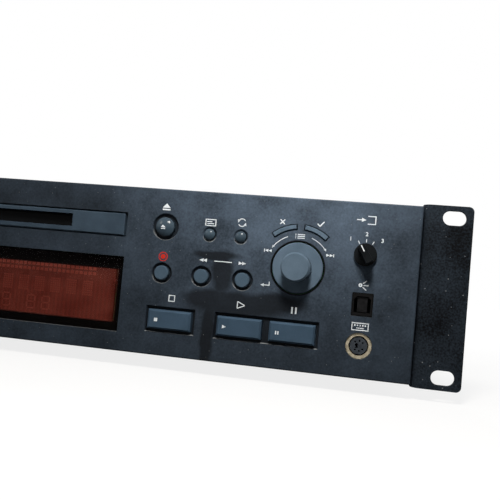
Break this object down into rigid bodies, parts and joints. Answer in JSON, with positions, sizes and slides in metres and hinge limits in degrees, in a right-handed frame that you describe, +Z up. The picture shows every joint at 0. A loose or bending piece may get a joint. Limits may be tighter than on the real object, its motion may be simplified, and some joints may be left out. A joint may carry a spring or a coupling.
{
  "type": "minidisc deck",
  "caption": "Rack-mount minidisc deck: wide black steel case, slate grey front panel with disc slot and dust door, smoked display window, push keys, jog dial, knobs and slotted ears.",
  "frame": {"origin": "middle of the rack mounting plane: the rear faces of the two rack ears, halfway between their slots", "axes": "+X to the right and +Z up as seen by someone facing the front panel, +Y towards the rear"},
  "size_m": [0.4826, 0.312, 0.0941],
  "materials": {
    "panel_grey": "fine matte moulded",
    "key_grey": "satin moulded",
    "black_plastic": "satin moulded",
    "smoked_acrylic": "polished, tinted",
    "display_glass": "polished",
    "black_steel": "fine textured powder coat",
    "zinc_steel": "zinc plated",
    "bright_steel": "ground",
    "screw_black": "blackened",
    "foot_rubber": "matte",
    "circuit_board": "solder mask",
    "nickel_shell": "nickel plated",
    "socket_cream": "moulded",
    "socket_grey": "moulded",
    "core_steel": "varnished laminations",
    "white_plastic": "moulded"
  },
  "bodies": {
    "deck": {"chassis_pan": "black_steel", "control_pots": "black_plastic", "cover_screws": "screw_black", "display_tube": "display_glass", "display_window": "smoked_acrylic", "drive_motors": "zinc_steel", "ear_screws": "screw_black", "feet": "foot_rubber", "front_frame": "zinc_steel", "front_panel": "panel_grey", "guide_rods": "bright_steel", "jog_encoder": "black_plastic", "keyboard_insert": "socket_grey", "keyboard_socket": "socket_cream", "loader_frame": "zinc_steel", "main_board": "circuit_board", "optical_input": "socket_grey", "optical_ports": "black_plastic", "panel_boards": "circuit_board", "phones_jack": "black_plastic", "phono_jacks": "black_plastic", "power_board": "circuit_board", "power_inlet": "black_plastic", "power_switch": "black_plastic", "power_transformer": "core_steel", "rack_ear_left": "black_steel", "rack_ear_right": "black_steel", "rear_panel": "black_steel", "selector_switch": "black_plastic", "slot_bezel": "key_grey", "timer_switch": "black_plastic", "top_cover": "black_steel", "xlr_connectors": "nickel_shell"},
    "slot_door": {"slot_door": "black_plastic"},
    "eject_button": {"eject_button": "key_grey"},
    "display_button": {"display_button": "key_grey"},
    "play_mode_button": {"play_mode_button": "key_grey"},
    "edit_button": {"edit_button": "key_grey"},
    "yes_button": {"yes_button": "key_grey"},
    "record_button": {"record_button": "key_grey"},
    "search_back_button": {"search_back_button": "key_grey"},
    "search_forward_button": {"search_forward_button": "key_grey"},
    "stop_button": {"stop_button": "key_grey"},
    "play_button": {"play_button": "key_grey"},
    "ready_button": {"ready_button": "key_grey"},
    "power_button": {"power_button": "key_grey"},
    "pitch_button": {"pitch_button": "key_grey"},
    "jog_plunger": {"jog_plunger": "black_plastic"},
    "jog_dial": {"jog_dial": "key_grey"},
    "selector_knob": {"selector_knob": "black_plastic"},
    "optical_shutter": {"optical_shutter": "black_plastic"},
    "timer_lever": {"timer_lever": "black_plastic"},
    "phones_knob": {"phones_knob": "black_plastic"},
    "pitch_knob": {"pitch_knob": "black_plastic"},
    "input_ring": {"input_ring": "black_plastic"},
    "input_knob": {"input_knob": "black_plastic"},
    "disc_carriage": {"disc_carriage": "zinc_steel"},
    "pickup_sled": {"pickup_sled": "white_plastic"},
    "sled_gear": {"sled_gear": "white_plastic"},
    "turntable": {"turntable": "bright_steel"}
  },
  "joints": [
    {"name": "eject_push", "type": "slide", "parent": "deck", "child": "eject_button", "axis": [0, 1, 0], "range_m": [0, 0.0008], "stiffness_N_per_m": 600},
    {"name": "display_push", "type": "slide", "parent": "deck", "child": "display_button", "axis": [0, 1, 0], "range_m": [0, 0.0008], "stiffness_N_per_m": 600},
    {"name": "play_mode_push", "type": "slide", "parent": "deck", "child": "play_mode_button", "axis": [0, 1, 0], "range_m": [0, 0.0008], "stiffness_N_per_m": 600},
    {"name": "edit_push", "type": "slide", "parent": "deck", "child": "edit_button", "axis": [0, 1, 0], "range_m": [0, 0.0008], "stiffness_N_per_m": 600},
    {"name": "yes_push", "type": "slide", "parent": "deck", "child": "yes_button", "axis": [0, 1, 0], "range_m": [0, 0.0008], "stiffness_N_per_m": 600},
    {"name": "record_push", "type": "slide", "parent": "deck", "child": "record_button", "axis": [0, 1, 0], "range_m": [0, 0.0008], "stiffness_N_per_m": 600},
    {"name": "search_back_push", "type": "slide", "parent": "deck", "child": "search_back_button", "axis": [0, 1, 0], "range_m": [0, 0.0008], "stiffness_N_per_m": 600},
    {"name": "search_forward_push", "type": "slide", "parent": "deck", "child": "search_forward_button", "axis": [0, 1, 0], "range_m": [0, 0.0008], "stiffness_N_per_m": 600},
    {"name": "stop_push", "type": "slide", "parent": "deck", "child": "stop_button", "axis": [0, 1, 0], "range_m": [0, 0.0008], "stiffness_N_per_m": 600},
    {"name": "play_push", "type": "slide", "parent": "deck", "child": "play_button", "axis": [0, 1, 0], "range_m": [0, 0.0008], "stiffness_N_per_m": 600},
    {"name": "ready_push", "type": "slide", "parent": "deck", "child": "ready_button", "axis": [0, 1, 0], "range_m": [0, 0.0008], "stiffness_N_per_m": 600},
    {"name": "pitch_push", "type": "slide", "parent": "deck", "child": "pitch_button", "axis": [0, 1, 0], "range_m": [0, 0.0008], "stiffness_N_per_m": 600},
    {"name": "power_push", "type": "slide", "parent": "deck", "child": "power_button", "axis": [0, 1, 0], "range_m": [0, 0.0026], "stiffness_N_per_m": 600},
    {"name": "door_swing", "type": "hinge", "parent": "deck", "child": "slot_door", "pos_m": [0, 0, 0.02565], "axis": [1, 0, 0], "range_deg": [0, 85], "stiffness_Nm_per_rad": 0.0002},
    {"name": "jog_push", "type": "slide", "parent": "deck", "child": "jog_plunger", "axis": [0, 1, 0], "range_m": [0, 0.0005], "stiffness_N_per_m": 1500},
    {"name": "jog_turn", "type": "hinge", "parent": "jog_plunger", "child": "jog_dial", "pos_m": [0.15979, 0, 0.0079], "axis": [0, 1, 0], "continuous": true},
    {"name": "selector_turn", "type": "hinge", "parent": "deck", "child": "selector_knob", "pos_m": [0.19201, 0, 0.017], "axis": [0, 1, 0], "range_deg": [0, 60]},
    {"name": "shutter_swing", "type": "hinge", "parent": "deck", "child": "optical_shutter", "pos_m": [0.19249, -0.0033, -0.00365], "axis": [1, 0, 0], "range_deg": [0, 80], "stiffness_Nm_per_rad": 0.00005},
    {"name": "timer_slide", "type": "slide", "parent": "deck", "child": "timer_lever", "axis": [1, 0, 0], "range_m": [-0.0035, 0.0035]},
    {"name": "phones_turn", "type": "hinge", "parent": "deck", "child": "phones_knob", "pos_m": [-0.16799, 0, 0.008], "axis": [0, 1, 0], "range_deg": [-150, 150]},
    {"name": "pitch_turn", "type": "hinge", "parent": "deck", "child": "pitch_knob", "pos_m": [-0.13699, 0, 0.008], "axis": [0, 1, 0], "range_deg": [-150, 150]},
    {"name": "input_ring_turn", "type": "hinge", "parent": "deck", "child": "input_ring", "pos_m": [-0.10002, 0, 0.008], "axis": [0, 1, 0], "range_deg": [-150, 150]},
    {"name": "input_knob_turn", "type": "hinge", "parent": "deck", "child": "input_knob", "pos_m": [-0.10002, 0, 0.008], "axis": [0, 1, 0], "range_deg": [-150, 150]},
    {"name": "carriage_drop", "type": "slide", "parent": "deck", "child": "disc_carriage", "axis": [0, 0, -1], "range_m": [0, 0.003]},
    {"name": "sled_slide", "type": "slide", "parent": "deck", "child": "pickup_sled", "axis": [0, 1, 0], "range_m": [0, 0.015]},
    {"name": "sled_gear_turn", "type": "hinge", "parent": "deck", "child": "sled_gear", "pos_m": [0.0297, 0.073, 0], "axis": [0, 0, -1], "range_deg": [0, 120]},
    {"name": "turntable_spin", "type": "hinge", "parent": "deck", "child": "turntable", "pos_m": [0, 0.045, 0], "axis": [0, 0, 1], "continuous": true}
  ],
  "couplings": [
    {"joint": "sled_gear_turn", "follows": "sled_slide", "rad_per_m": 138.89}
  ]
}
